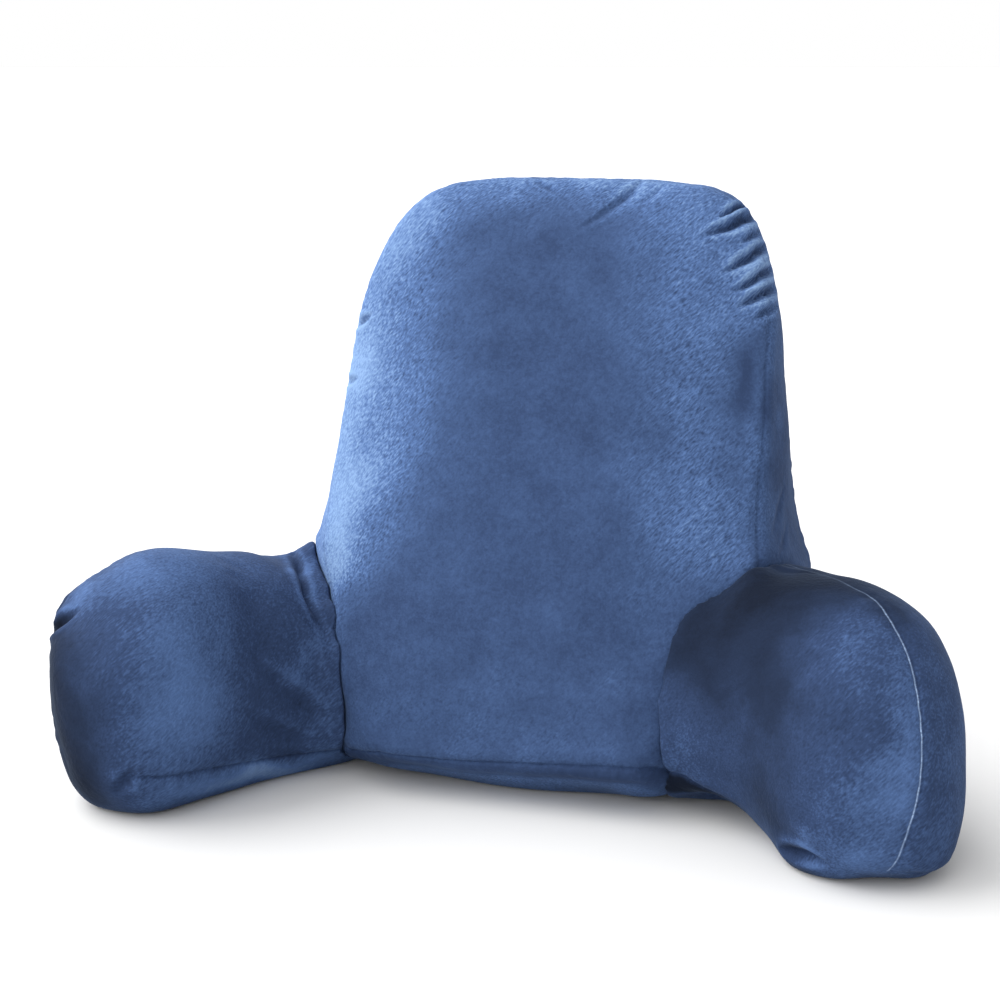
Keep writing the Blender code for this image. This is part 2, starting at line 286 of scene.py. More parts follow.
PULLS = (
    # The backrest's top, its two upper corners, and its edges.
    Pull((0.000, 0.150, 0.455), (0.200, 0.100, 0.060), (0.0000, 0.0005, 0.0030)),
    Pull((-0.110, 0.145, 0.445), (0.030, 0.080, 0.030), (-0.0010, 0.0000, 0.0015)),
    Pull((0.130, 0.158, 0.443), (0.030, 0.060, 0.030), (0.0015, 0.0000, 0.0020)),
    Pull((-0.157, 0.093, 0.350), (0.030, 0.080, 0.050), (-0.0026, 0.0000, 0.0000)),
    Pull((-0.168, 0.020, 0.190), (0.026, 0.030, 0.026), (0.0060, 0.0000, 0.0000)),
    Pull((0.184, 0.115, 0.270), (0.030, 0.080, 0.045), (0.0040, 0.0010, 0.0000)),
    Pull((0.206, 0.120, 0.152), (0.030, 0.060, 0.018), (0.0035, 0.0000, 0.0000)),
    Pull((0.200, 0.110, 0.194), (0.030, 0.060, 0.024), (-0.0018, 0.0000, 0.0000)),
    # The arms' roots, and the seams that they are sewn on by.
    Pull((-0.186, 0.040, 0.157), (0.018, 0.018, 0.018), (-0.0010, 0.0000, 0.0120)),
    Pull((0.205, 0.030, 0.181), (0.020, 0.020, 0.020), (0.0000, 0.0000, 0.0046)),
    Pull((0.182, 0.000, 0.178), (0.014, 0.026, 0.022), (0.0000, 0.0000, 0.0100)),
    Pull((0.160, -0.022, 0.168), (0.016, 0.026, 0.022), (0.0000, 0.0000, -0.0030)),
    Pull((0.206, 0.118, 0.160), (0.016, 0.050, 0.016), (0.0018, 0.0000, 0.0006)),
    Pull((0.180, 0.012, 0.176), (0.025, 0.030, 0.015), (0.0000, 0.0000, 0.0040)),
    Pull((0.240, 0.000, 0.185), (0.040, 0.050, 0.030), (0.0000, 0.0000, 0.0022)),
    Pull((-0.166, 0.000, 0.146), (0.025, 0.040, 0.024), (0.0068, 0.0018, 0.0000)),
    Pull((-0.155, -0.010, 0.139), (0.014, 0.030, 0.010), (0.0014, 0.0000, 0.0000)),
    Pull((-0.141, -0.026, 0.124), (0.014, 0.030, 0.009), (-0.0020, 0.0000, 0.0000)),
    Pull((-0.134, -0.038, 0.060), (0.030, 0.030, 0.020), (0.0028, 0.0008, 0.0000)),
    Pull((-0.127, -0.032, 0.026), (0.022, 0.030, 0.014), (-0.0042, -0.0030, 0.0000)),
    Pull((-0.139, -0.026, 0.125), (0.016, 0.030, 0.018), (-0.0020, 0.0000, 0.0000)),
    Pull((-0.116, -0.030, 0.008), (0.036, 0.034, 0.014), (-0.0260, -0.0050, 0.0000)),
    Pull((0.140, -0.050, 0.060), (0.045, 0.045, 0.045), (-0.0170, -0.0040, 0.0000)),
    Pull((0.120, -0.036, 0.130), (0.035, 0.040, 0.040), (0.0060, 0.0015, 0.0000)),
    # The edge of the bottom panel.
    Pull((0.113, -0.021, 0.010), (0.030, 0.030, 0.020), (0.0000, -0.0080, -0.0050)),
    Pull((0.166, -0.036, 0.006), (0.024, 0.028, 0.014), (0.0000, 0.0120, 0.0080)),
    Pull((-0.098, -0.030, 0.016), (0.035, 0.030, 0.020), (0.0000, -0.0030, -0.0034)),
    Pull((-0.148, -0.016, 0.006), (0.018, 0.030, 0.012), (0.0000, -0.0006, -0.0022)),
    # The right arm's lower corners.
    Pull((0.338, -0.090, 0.036), (0.040, 0.070, 0.045), (0.0062, 0.0002, -0.0038)),
    Pull((0.290, -0.130, 0.004), (0.040, 0.030, 0.014), (0.0000, 0.0050, 0.0020)),
    Pull((0.330, -0.112, 0.016), (0.020, 0.030, 0.016), (0.0020, 0.0000, -0.0018)),
    Pull((0.264, -0.128, 0.006), (0.018, 0.030, 0.012), (0.0000, -0.0014, -0.0014)),
    Pull((-0.219, -0.126, 0.006), (0.022, 0.030, 0.012), (-0.0005, 0.0010, 0.0016)),
    Pull((-0.289, -0.149, 0.004), (0.020, 0.020, 0.012), (-0.0004, -0.0010, -0.0012)),
    Pull((0.222, 0.019, 0.182), (0.014, 0.020, 0.014), (0.0004, 0.0006, 0.0014)),
    Pull((0.228, -0.106, 0.006), (0.020, 0.030, 0.020), (-0.0020, -0.0015, -0.0030)),
    # The left arm's nose and shoulder.
    Pull((-0.312, -0.162, 0.035), (0.030, 0.030, 0.030), (0.0035, 0.0013, 0.0010)),
    Pull((-0.331, -0.107, 0.140), (0.028, 0.040, 0.022), (-0.0075, -0.0010, 0.0030)),
    Pull((-0.306, -0.086, 0.175), (0.020, 0.030, 0.020), (0.0010, 0.0000, -0.0025)),
    Pull((-0.262, -0.060, 0.180), (0.040, 0.060, 0.030), (0.0000, 0.0000, 0.0055)),
)

# Pile brushed light or dark, and light and shade painted where the lamps don't give them: the middle of each
# patch, its reach each way, and how much lighter it lies.
Stroke = namedtuple("Stroke", "middle reach lightness")

BACKREST_NAP_AND_LIGHT = (
    # Painted light: the glow down the left side, and the lit corner and top.
    Stroke((-0.168, 0.030, 0.245), (0.040, 0.12, 0.160), 0.26),
    Stroke((-0.160, 0.074, 0.322), (0.030, 0.08, 0.046), 0.15),
    Stroke((-0.132, 0.008, 0.212), (0.030, 0.06, 0.050), 0.14),
    Stroke((-0.152, -0.002, 0.166), (0.016, 0.04, 0.030), 0.13),
    Stroke((-0.105, -0.030, 0.150), (0.030, 0.04, 0.024), -0.05),
    Stroke((-0.146, 0.116, 0.412), (0.045, 0.06, 0.044), 0.20),
    Stroke((-0.105, 0.035, 0.310), (0.040, 0.10, 0.120), 0.11),
    Stroke((0.000, 0.140, 0.455), (0.150, 0.05, 0.022), 0.12),
    Stroke((0.030, 0.160, 0.462), (0.160, 0.04, 0.010), 0.14),
    Stroke((-0.115, 0.150, 0.438), (0.030, 0.04, 0.025), 0.14),
    Stroke((0.085, 0.085, 0.375), (0.035, 0.06, 0.045), 0.05),
    # Nap and painted light and shade: the lighter right side, with a darker edge and boxing.
    Stroke((0.110, 0.115, 0.425), (0.045, 0.05, 0.035), 0.09),
    Stroke((0.125, 0.050, 0.320), (0.036, 0.10, 0.120), 0.09),
    Stroke((0.145, -0.002, 0.210), (0.050, 0.05, 0.050), 0.12),
    Stroke((0.160, 0.100, 0.385), (0.025, 0.06, 0.060), 0.14),
    Stroke((0.172, 0.044, 0.266), (0.011, 0.05, 0.020), 0.09),
    Stroke((0.167, 0.080, 0.338), (0.012, 0.05, 0.030), -0.09),
    Stroke((0.194, 0.070, 0.235), (0.013, 0.07, 0.070), -0.02),
    Stroke((0.184, 0.090, 0.335), (0.012, 0.06, 0.060), -0.04),
    Stroke((0.174, 0.084, 0.322), (0.007, 0.04, 0.045), 0.08),
    Stroke((0.164, 0.056, 0.306), (0.009, 0.04, 0.022), -0.08),
    # Painted light on the foot of the panel, and on the strip below it.
    Stroke((0.000, -0.058, 0.085), (0.130, 0.03, 0.045), 0.02),
    Stroke((0.000, -0.063, 0.056), (0.130, 0.03, 0.012), 0.02),
    Stroke((-0.010, -0.050, 0.018), (0.110, 0.04, 0.020), 0.11),
    Stroke((0.126, -0.050, 0.010), (0.030, 0.05, 0.026), 0.10),
)
ARM_LEFT_NAP_AND_LIGHT = (
    # The dark nose with a painted highlight on its lit edge, the lighter inner side, and painted shade beside
    # the backrest and the base.
    Stroke((-0.320, -0.160, 0.078), (0.043, 0.06, 0.064), -0.39),
    Stroke((-0.316, -0.118, 0.158), (0.020, 0.03, 0.012), 0.17),
    Stroke((-0.332, -0.124, 0.134), (0.010, 0.02, 0.010), -0.24),
    Stroke((-0.218, -0.141, 0.104), (0.026, 0.05, 0.052), 0.17),
    Stroke((-0.325, -0.140, 0.118), (0.024, 0.05, 0.040), -0.14),
    Stroke((-0.295, -0.170, 0.050), (0.026, 0.05, 0.034), -0.12),
    Stroke((-0.156, -0.044, 0.112), (0.014, 0.03, 0.014), 0.10),
    Stroke((-0.184, 0.012, 0.156), (0.006, 0.03, 0.016), 0.10),
    Stroke((-0.250, -0.085, 0.184), (0.040, 0.05, 0.018), 0.05),
    Stroke((-0.175, -0.075, 0.090), (0.030, 0.05, 0.070), -0.08),
    Stroke((-0.164, -0.066, 0.087), (0.014, 0.02, 0.013), 0.08),
    Stroke((-0.150, -0.032, 0.130), (0.012, 0.02, 0.022), -0.10),
    Stroke((-0.195, 0.010, 0.155), (0.030, 0.05, 0.030), -0.06),
    Stroke((-0.280, -0.120, 0.178), (0.050, 0.05, 0.022), 0.06),
    Stroke((-0.225, -0.140, 0.020), (0.060, 0.06, 0.011), 0.07),
    Stroke((-0.180, -0.080, 0.012), (0.045, 0.07, 0.012), 0.30),
    Stroke((-0.295, -0.165, 0.018), (0.040, 0.05, 0.020), -0.24),
)
ARM_RIGHT_NAP_AND_LIGHT = (
    # The dark root, top and inner side, with painted shade at the root beside the backrest, and the lighter
    # nose.
    Stroke((0.155, -0.040, 0.135), (0.055, 0.05, 0.055), -0.34),
    Stroke((0.225, -0.030, 0.195), (0.090, 0.07, 0.035), -0.40),
    Stroke((0.200, 0.020, 0.180), (0.030, 0.04, 0.025), -0.24),
    Stroke((0.208, -0.096, 0.132), (0.026, 0.04, 0.035), -0.14),
    Stroke((0.212, -0.110, 0.040), (0.034, 0.05, 0.044), -0.17),
    Stroke((0.223, -0.109, 0.110), (0.066, 0.06, 0.066), -0.11),
    Stroke((0.258, -0.080, 0.168), (0.034, 0.05, 0.034), 0.12),
    Stroke((0.301, -0.118, 0.096), (0.014, 0.04, 0.066), 0.11),
    Stroke((0.278, -0.145, 0.050), (0.034, 0.04, 0.040), 0.03),
    Stroke((0.236, -0.120, 0.006), (0.022, 0.03, 0.010), -0.16),
    Stroke((0.240, -0.134, 0.033), (0.011, 0.02, 0.008), 0.12),
    Stroke((0.140, -0.060, 0.080), (0.022, 0.03, 0.030), 0.05),
    Stroke((0.285, -0.140, 0.018), (0.040, 0.04, 0.016), 0.07),
    Stroke((0.155, -0.040, 0.010), (0.045, 0.05, 0.024), -0.08),
    Stroke((0.200, 0.014, 0.186), (0.024, 0.03, 0.008), 0.22),
)

# How far the pile stands up in flecks, by how light the nap and the painted light make it.
BACKREST_TUFTS = ((0.53, 0.0), (0.62, 0.42), (0.70, 0.56), (0.85, 0.36))
ARM_TUFTS = ((0.33, 0.0), (0.44, 0.27), (0.58, 0.25), (0.70, 0.14))

# Size of the panels' seams by angle in degrees, from the right side over the top to the left and the foot.
FRONT_SEAM_SIZES = (
    (0, 0.45), (20, 0.40), (35, 0.15), (60, 0.35), (90, 0.4), (180, 0.4), (190, 0.0), (350, 0.0),
)
BACK_SEAM_SIZES = ((0, 1.0), (180, 1.0))

# Where each colour stands between the darkest, pile laid dark and painted shade, at 0, and the lightest,
# brushed pile and painted light, at 1.
PILE_STOPS = ((0.10, "deep"), (0.30, "dim"), (0.50, "body"), (0.70, "lit"), (0.90, "light"))
PLAIN_PILE = 0.524

# Soft lights: where each comes from, how wide it is in degrees, and its strength.
Lamp = namedtuple("Lamp", "name comes_from softness strength")
LAMPS = (
    Lamp("rim", (-2.4, 0.5, 1.4), 90.0, 4.6),
    Lamp("key", (-1.7, -1.5, 1.7), 90.0, 2.6),
)
FLOOR_RADIUS = 60.0
FLOOR_DROP = 0.0005  # the floor lies this far below the base, so that they don't share a plane

CAMERA_TARGET = (-0.033, 0.0605, 0.21)
CAMERA_TURN = math.radians(16.0)
CAMERA_RISE = math.radians(13.5)
CAMERA_AWAY = 1.5
CAMERA_LENS = 67.5  # millimetres

# ---- how the cloth is made, in metres unless said --------------------------------------------------

MERGE_WITHIN = 0.00002  # for the loose triangles of a node's mesh
LINE_SPACING = 0.0015  # between the fine spots of a seam or fold

# Rounds of smoothing after the remesh, where the cloth is free, and after it is filled.
REMESHED_ROUNDS = 6
FREE_ROUNDS = 10
FILLED_ROUNDS = 3
SMOOTHING = 0.5
HALF_FREE = 0.5  # the filled cloth is smoothed in full from here on

# What holds the cloth while it is filled: how far off it starts to come free, and over what distance.
Hold = namedtuple("Hold", "start over")
BASE_HOLD = Hold(0.002, 0.012)
NEIGHBOUR_HOLD = Hold(0.004, 0.016)
NEIGHBOUR_SEARCH = 0.05
SEAM_HOLD = Hold(0.003, 0.011)
SEAM_HOLD_GAIN = 1.5  # a seam holds fully from two thirds of full depth on

# The cloth and the pressure of its filling, in the simulation's own units.
FILLING_FRAMES = 20
FILLING = {
    "use_pressure": True,
    "uniform_pressure_force": 4.0,
    "tension_stiffness": 12.0,
    "compression_stiffness": 8.0,
    "shear_stiffness": 4.0,
    "bending_stiffness": 0.4,
    "quality": 5,
}

# The filling's soft lumps: a hand's breadth and a finger's, and the small ones' height against the large.
LARGE_LUMP = 0.085
SMALL_LUMP = 0.032
SMALL_LUMP_SHARE = 0.35

# The lips of cloth on both sides of a trough: their place and width in its half widths, and their rise as a
# share of its depth.
Lip = namedtuple("Lip", "place width rise")
FOLD_LIP = Lip(1.9, 0.8, 0.18)
SEAM_LIP = Lip(1.7, 0.9, 0.15)
CREASE_REACH = 4  # half widths from its line within which a seam or fold moves the cloth

# A fold: its width at its ends as a share of full, and the steepness of its step.
FOLD_END_WIDTH = 0.4
STEP_SLOPE = 1.6

# A fold's painted shade and highlights: the depth and step at which they are full, how dark the painted shade
# in the trough gets and how much narrower than the trough it is, and how much painted highlight or shade lies
# on the lip, the upper and the lower side.
DEEP_FOLD = 0.0075
HIGH_STEP = 0.0035
PAINTED_TROUGH_SHADE = 0.9
TROUGH_SHARPNESS = 1.5
PAINTED_LIP_HIGHLIGHT = 0.22
PAINTED_UPPER_HIGHLIGHT = 0.15
PAINTED_LOWER_SHADE = 0.06

# A seam is a valley with a sharp crease in it: the crease's width, and the share of the depth of each.
CREASE_WIDTH = 0.28
VALLEY_SHARE = 0.6
CREASE_SHARE = 0.4

# Its gathers: their length, how far beside it they reach in half widths, how much less they show in the
# crease, and what brings the noise they follow up to their height.
GATHER_LENGTH = 0.0075
GATHER_REACH = 2.2
GATHER_GAP = 0.6
GATHER_GAIN = 2

# Painted shade on the cloth beside it: how far it reaches, and how it comes and goes where the cloth turns
# under below the seam and where it lies beyond a parting.
PAINTED_SHADE_REACH = 0.024
UNDER_START = 0.003
UNDER_FADE = 0.006
BEYOND_START = 0.001
BEYOND_FADE = 0.018
PAINTED_SHADE_BEYOND = 0.05

# The light line of parted pile and painted highlight: its place and width beside the seam, how it is broken up
# along it, and the painted shadow line on the seam's other side.
PARTING_REACH = 0.004
PARTING_PLACE = 0.0005
PARTING_WIDTH = 0.0006
PARTING_BREAK_LENGTH = 0.004
PARTING_LEAST = 0.4
PARTING_BREAKS = 0.9
PARTING_SHADOW_PLACE = -0.0009
PARTING_SHADOW_WIDTH = 0.0009
PARTING_SHADOW = 0.5

# How the strokes' edges wander, in two sizes, and the size of the mottling.
WIDE_WANDER = 0.045
FINE_WANDER = 0.016
FINE_WANDER_SHARE = 0.4
WANDER = 0.013
WANDER_SEED = 1  # noise_vector follows the clock without a seed
MOTTLE_SIZE = 0.030
MOTTLE_NOISE = (0.7, 2.0, 3)  # its increment, lacunarity and octaves

# The pile's patterns: the size of each in millimetres and the detail of its noise. Single hairs of 0.02 mm
# are too fine to show, so the grain and the flecks are drawn as coarse as they need to be to show.
Pattern = namedtuple("Pattern", "millimetres detail")
GRAIN = Pattern(1.613, 1.0)
FLECKS = Pattern(1.4286, 1.0)
CLUMPS = Pattern(4.762, 2.0)
PATCHES = Pattern(45.45, 3.0)
FLECK_LENGTH = 3.2  # in its widths
FLECK_SLANT = math.radians(45)

# How far each pattern lightens and darkens the pile, and how high it stands against the clumps.
PATCH_CONTRAST = 0.05
CLUMP_CONTRAST = 0.08
GRAIN_CONTRAST = 0.08
GRAIN_HEIGHT = 0.35
FLECK_HEIGHT = 2.6
PILE_HEIGHT = 0.0009
PILE_RELIEF = 0.6

# Painted shade in seams and folds: what the plush's colour is multiplied by deep in a crease, as linear RGBA,
# and how much of it shows.
PAINTED_SEAM_SHADE = (0.12, 0.14, 0.2, 1.0)
PAINTED_SEAM_SHADE_SHARE = 0.75


# ---- settings --------------------------------------------------------------------------------------


class PillowSizes(bpy.types.PropertyGroup):
    """Sizes of the cushions' making."""

    swell: bpy.props.FloatProperty(
        name="Swell", description="Furthest that the filling pushes the cloth out", default=0.010, unit="LENGTH"
    )
    slack: bpy.props.FloatProperty(
        name="Slack",
        description="How far the cloth is drawn in before it is filled",
        default=0.0015,
        unit="LENGTH",
    )
    seam_depth: bpy.props.FloatProperty(
        name="Seam depth", description="How deep the seams are drawn in", default=0.0034, unit="LENGTH"
    )
    seam_half_width: bpy.props.FloatProperty(
        name="Seam half width", description="Half width of the valley at a seam", default=0.0060, unit="LENGTH"
    )
    pucker: bpy.props.FloatProperty(
        name="Pucker", description="Height of the small gathers along a seam", default=0.0007, unit="LENGTH"
    )
    fine_reach: bpy.props.FloatProperty(
        name="Fine reach",
        description="How far beside a seam or fold the mesh is finer",
        default=0.006,
        unit="LENGTH",
    )
    unevenness: bpy.props.FloatProperty(
        name="Unevenness", description="Height of the filling's soft lumps", default=0.0022, unit="LENGTH"
    )


class PillowColours(bpy.types.PropertyGroup):
    """Colours of the plush and the studio."""

    # The five pile tones are lit and shaded copies of the navy; the cloth runs through them by its nap together
    # with painted light and shade. Parted is the light line of parted pile and painted highlight.
    deep: bpy.props.StringProperty(name="Deep", description="Pile seen end on, sRGB hex", default="#111724")
    dim: bpy.props.StringProperty(name="Dim", description="Pile laid dark, sRGB hex", default="#1C263A")
    body: bpy.props.StringProperty(
        name="Body", description="The plush's own colour, sRGB hex", default="#2C3B59"
    )
    lit: bpy.props.StringProperty(name="Lit", description="Pile laid light, sRGB hex", default="#48608A")
    light: bpy.props.StringProperty(name="Light", description="Brushed pile, sRGB hex", default="#6E88AC")
    parted_highlight: bpy.props.StringProperty(
        name="Parted", description="Pile parted at a seam, sRGB hex", default="#A3BBDF"
    )
    sheen: bpy.props.StringProperty(
        name="Sheen", description="Sheen of the pile's tips, sRGB hex", default="#9AB1D2"
    )
    floor: bpy.props.StringProperty(name="Floor", description="Studio floor, sRGB hex", default="#C8C8C8")
    sky: bpy.props.StringProperty(name="Sky", description="Light from all round, sRGB hex", default="#FFFFFF")


# ---- small helpers ---------------------------------------------------------------------------------


def linear(code):
    """Linear RGBA of an sRGB hex colour."""
    channels = [int(code[n : n + 2], 16) / 255 for n in (1, 3, 5)]
    return (*(c / 12.92 if c <= 0.04045 else ((c + 0.055) / 1.055) ** 2.4 for c in channels), 1.0)


def add_node(tree, kind, settings=None, links=None):
    """Add a node, set its properties and sockets, and link its inputs."""
    node = tree.nodes.new(kind)
    for name, value in (settings or {}).items():
        if isinstance(name, int) or name in node.inputs:
            node.inputs[name].default_value = value
        else:
            setattr(node, name, value)
    for name, source in (links or {}).items():
        tree.links.new(source, node.inputs[name])
    return node


def pick(thing):
    """Make a thing the only selected one, and the active one."""
    bpy.ops.object.select_all(action="DESELECT")
    thing.select_set(True)
    bpy.context.view_layer.objects.active = thing


def read_table(rows, key, column, at):
    """Value of a column at a place along the key column, on a smooth curve through the rows."""
    keys = [getattr(row, key) for row in rows]
    values = [getattr(row, column) for row in rows]
    slopes = np.gradient(values, keys)
    at = min(max(at, keys[0]), keys[-1])
    i = next(n for n in range(len(keys) - 1) if at <= keys[n + 1])
    span = keys[i + 1] - keys[i]
    t = (at - keys[i]) / span
    return (
        values[i] * (2 * t**3 - 3 * t**2 + 1)
        + values[i + 1] * (3 * t**2 - 2 * t**3)
        + slopes[i] * span * (t**3 - 2 * t**2 + t)
        + slopes[i + 1] * span * (t**3 - t**2)
    )


def bell(away, middle, width):
    """1 at the middle, falling softly to 0 on both sides."""
    return np.exp(-(((away - middle) / width) ** 2))


def rise(value, full):
    """0 up to zero, 1 from full on, and even between."""
    return np.clip(value / full, 0, 1)


def nearness(points, patch):
    """1 at the middle of a patch, falling softly to 0 over its reach each way."""
    away = (points - np.array(patch.middle)) / np.array(patch.reach)
    return np.exp(-(away**2).sum(1))


def points_of(mesh):
    """A mesh's points, one row each."""
    flat = np.empty(len(mesh.vertices) * 3, np.float32)
    mesh.vertices.foreach_get("co", flat)
    return flat.reshape(-1, 3).astype(float)


def normals_of(mesh):
    """The way that a mesh's surface faces at each of its points."""
    flat = np.empty(len(mesh.vertices) * 3, np.float32)
    mesh.vertex_normals.foreach_get("vector", flat)
    return flat.reshape(-1, 3).astype(float)


def place_points(mesh, points):
    """Move a mesh's points to new places."""
    mesh.vertices.foreach_set("co", points.astype(np.float32).ravel())
    mesh.update()


def surface_of(mesh):
    """A mesh's surface, to find the nearest place on it."""
    return BVHTree.FromPolygons([v.co for v in mesh.vertices], [p.vertices for p in mesh.polygons])


def spot_finder(spots):
    """A finder of the nearest of some spots."""
    finder = KDTree(len(spots))
    for n, spot in enumerate(spots):
        finder.insert(spot, n)
    finder.balance()
    return finder


def smooth_run(spots, closed=False):
    """Evenly fine spots (x, y, z, size) on a curve through the given ones."""
    given = [Vector(spot) for spot in spots]
    count = len(given)
    run = []
    for n in range(count if closed else count - 1):
        if closed:
            a, b, c, d = (given[(n + k) % count] for k in (-1, 0, 1, 2))
        else:
            a, b, c, d = (given[min(max(n + k, 0), count - 1)] for k in (-1, 0, 1, 2))
        steps = max(int((c - b).xyz.length / LINE_SPACING), 1)
        for t in (step / steps for step in range(steps)):
            run.append(
                (2 * b + (c - a) * t + (2 * a - 5 * b + 4 * c - d) * t**2 + (3 * b - a - 3 * c + d) * t**3) / 2
            )
    if not closed:
        run.append(given[-1])
    return run


# ---- the cloth's lines -----------------------------------------------------------------------------


def panel_seam(column, foot_y, lean, roll, sizes):
    """Closed run of the seam round the front or the back panel.

    roll moves the seam back over the top and the left edge, where the panel rolls over, and sizes gives its
    size at each angle round the panel, from the right side over the top.
    """
    middle = (SEAM_RISE + SEAM_TOP) / 2
    reach = (SEAM_TOP - SEAM_RISE) / 2
    angles, shares = zip(*sizes)
    run = []
    for n in range(SEAM_SAMPLES):
        angle = 2 * math.pi * n / SEAM_SAMPLES
        c, s = math.cos(angle), math.sin(angle)
        exponent = TOP_CORNER if s > 0 else FOOT_CORNER
        across = math.copysign(abs(c) ** (2 / exponent), c)
        height = middle + reach * math.copysign(abs(s) ** (2 / exponent), s)
        half_width = read_table(PANEL_OUTLINE, "height", column, height)
        over_top = np.interp(height, TOP_ROLL, (0.0, 1.0))
        over_left = np.interp(height, LEFT_ROLL, (0.0, LEFT_ROLL_SHARE)) if c < 0 else 0.0
        back = roll * max(over_top, over_left)
        size = float(np.interp(math.degrees(angle), angles, shares, period=360))
        run.append((MIDDLE_X + half_width * across, foot_y + height * math.tan(lean) + back, height, size))
    return run


class ClothLine:
    """A run laid on a piece's surface, with each near vertex's place beside and along it.

    rows are the vertices within reach. For each of them, away is its distance from the run, beside how far it
    lies to the left, along how far on, below how far under it, and size the run's own size there.
    """

    def __init__(self, piece, run, reach):
        tree = surface_of(piece.data)
        laid = [tree.find_nearest(spot.xyz)[:2] for spot in run]
        spots = np.array([spot for spot, _ in laid])
        normals = np.array([normal for _, normal in laid])
        ahead = np.roll(spots, -1, axis=0) - np.roll(spots, 1, axis=0)
        ahead[0], ahead[-1] = spots[1] - spots[0], spots[-1] - spots[-2]
        side = np.cross(normals, ahead)
        side /= np.linalg.norm(side, axis=1, keepdims=True) + 1e-12
        steps = np.linalg.norm(np.diff(spots, axis=0), axis=1)
        length = np.concatenate([[0.0], np.cumsum(steps)])
        finder = spot_finder(spots)
        points = points_of(piece.data)
        near = np.all((points > spots.min(0) - reach) & (points < spots.max(0) + reach), axis=1)
        found = [(n, *finder.find(points[n])[1:]) for n in np.flatnonzero(near)]
        found = [row for row in found if row[2] < reach]
        self.rows = np.array([row[0] for row in found], int)
        k = np.array([row[1] for row in found], int)
        self.away = np.array([row[2] for row in found], float)
        self.beside = np.einsum("ij,ij->i", points[self.rows] - spots[k], side[k])
        self.along = length[k]
        self.below = spots[k][:, 2] - points[self.rows][:, 2]
        self.size = np.array([spot[3] for spot in run])[k]


def pull_cloth(piece, pulls):
    """Pull the cloth out, or in, round some places."""
    points = points_of(piece.data)
    for pull in pulls:
        points = points + nearness(points, pull)[:, None] * np.array(pull.way)
    place_points(piece.data, points)


def read_mark(piece, name):
    """A named value on each of a piece's vertices, 0 where it was never marked."""
    held = np.zeros(len(piece.data.vertices), np.float32)
    if name in piece.data.attributes:
        piece.data.attributes[name].data.foreach_get("value", held)
    return held


def mark_cloth(piece, name, rows, values):
    """Raise a named value on some of a piece's vertices, for its material."""
    held = read_mark(piece, name)
    held[rows] = np.maximum(held[rows], values)
    mark = piece.data.attributes.get(name) or piece.data.attributes.new(name, "FLOAT", "POINT")
    mark.data.foreach_set("value", held)


def move_cloth(piece, rows, move):
    """Move some of a piece's vertices along their normals."""
    points = points_of(piece.data)
    points[rows] += normals_of(piece.data)[rows] * move[:, None]
    place_points(piece.data, points)


def press_fold(piece, fold):
    """Press one fold into a piece, paint shade into its trough and highlights onto its lips and upper side, and
    paint shade on its lower side.
    """
    line = ClothLine(piece, smooth_run(fold.spots), fold.half_width * CREASE_REACH)
    size = np.clip(line.size, 0, 1)
    half_width = fold.half_width * (FOLD_END_WIDTH + (1 - FOLD_END_WIDTH) * size)
    trough = bell(line.away, 0.0, half_width)
    lips = bell(line.away, FOLD_LIP.place * half_width, FOLD_LIP.width * half_width)
    lift = fold.step * STEP_SLOPE * line.beside / half_width
    move_cloth(piece, line.rows, ((lift - fold.depth) * trough + FOLD_LIP.rise * fold.depth * lips) * size)
    depth = rise(fold.depth, DEEP_FOLD)
    upper = np.clip(fold.step * line.beside / (half_width * HIGH_STEP), -1, 1) * trough * size
    # Painted shade in the trough, painted highlights on the lips and the lifted side, painted shade on the
    # lower side.
    mark_cloth(piece, "seam", line.rows, trough**TROUGH_SHARPNESS * size * depth * PAINTED_TROUGH_SHADE)
    mark_cloth(piece, "ridge", line.rows, np.maximum(lips * size * depth * PAINTED_LIP_HIGHLIGHT, upper * PAINTED_UPPER_HIGHLIGHT))
    mark_cloth(piece, "below", line.rows, -upper * PAINTED_LOWER_SHADE)


def paint_parting_highlight(piece, seam, line, size, seed):
    """Paint a broken light line beside a seam, of parted pile and painted highlight, with a painted shadow line
    on the seam's other side and painted shade beyond it.
    """
    side = line.beside * math.copysign(1.0, seam.parting)
    close = line.away < PARTING_REACH
    wave = np.array([abs(noise.noise(Vector((s / PARTING_BREAK_LENGTH, 0.0, seed)))) for s in line.along])
    broken = PARTING_LEAST + PARTING_BREAKS * wave
    light = bell(side, PARTING_PLACE, PARTING_WIDTH) * close * broken
    dark = bell(side, PARTING_SHADOW_PLACE, PARTING_SHADOW_WIDTH) * close
    beyond = rise(-side, BEYOND_START) * rise(PAINTED_SHADE_REACH - line.away, BEYOND_FADE)
    mark_cloth(piece, "parting", line.rows, np.clip(light * size * abs(seam.parting), 0, 1))
    # A painted shadow line on the seam's other side, and painted shade on the cloth beyond it.
    mark_cloth(piece, "seam", line.rows, dark * size * PARTING_SHADOW)
    mark_cloth(piece, "below", line.rows, beyond * size * PAINTED_SHADE_BEYOND)


